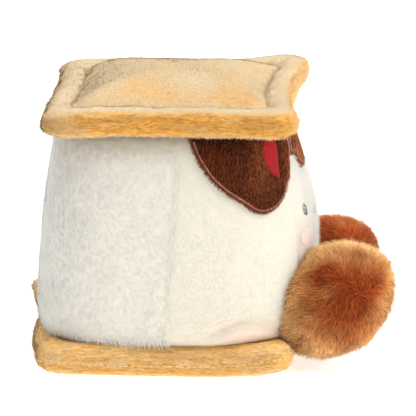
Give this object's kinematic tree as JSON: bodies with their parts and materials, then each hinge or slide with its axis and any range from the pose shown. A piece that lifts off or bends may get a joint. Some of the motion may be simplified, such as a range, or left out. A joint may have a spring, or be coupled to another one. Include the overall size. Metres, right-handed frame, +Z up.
{
  "type": "stuffed smore toy",
  "caption": "Stuffed toy of a marshmallow between two square cracker cushions, with chocolate drips, a small face and furry feet.",
  "frame": {"origin": "middle of the flat on the underside of the lower cracker, which the toy rests on", "axes": "+Z up, the face and feet look along -Y, and the toy's own left side is +X"},
  "size_m": [0.141, 0.2138, 0.162],
  "materials": {
    "cracker_plush": "short tan plush, golden on the sides",
    "marshmallow_plush": "cream plush, longer and whiter at the back",
    "chocolate_plush": "dark brown plush with a stitched edge",
    "foot_plush": "long orange-brown pile",
    "red_thread": "close satin-stitch embroidery",
    "black_thread": "close satin-stitch embroidery",
    "blush_plush": "pale pink short pile"
  },
  "bodies": {
    "root": {"cracker_upper": "cracker_plush", "cracker_lower": "cracker_plush", "marshmallow": "marshmallow_plush", "chocolate_front": "chocolate_plush", "chocolate_left": "chocolate_plush", "chocolate_right": "chocolate_plush", "heart": "red_thread", "smile": "black_thread", "eye_left": "black_thread", "eye_right": "black_thread", "cheek_left": "blush_plush", "cheek_right": "blush_plush", "foot_left": "foot_plush", "foot_right": "foot_plush"}
  },
  "joints": []
}
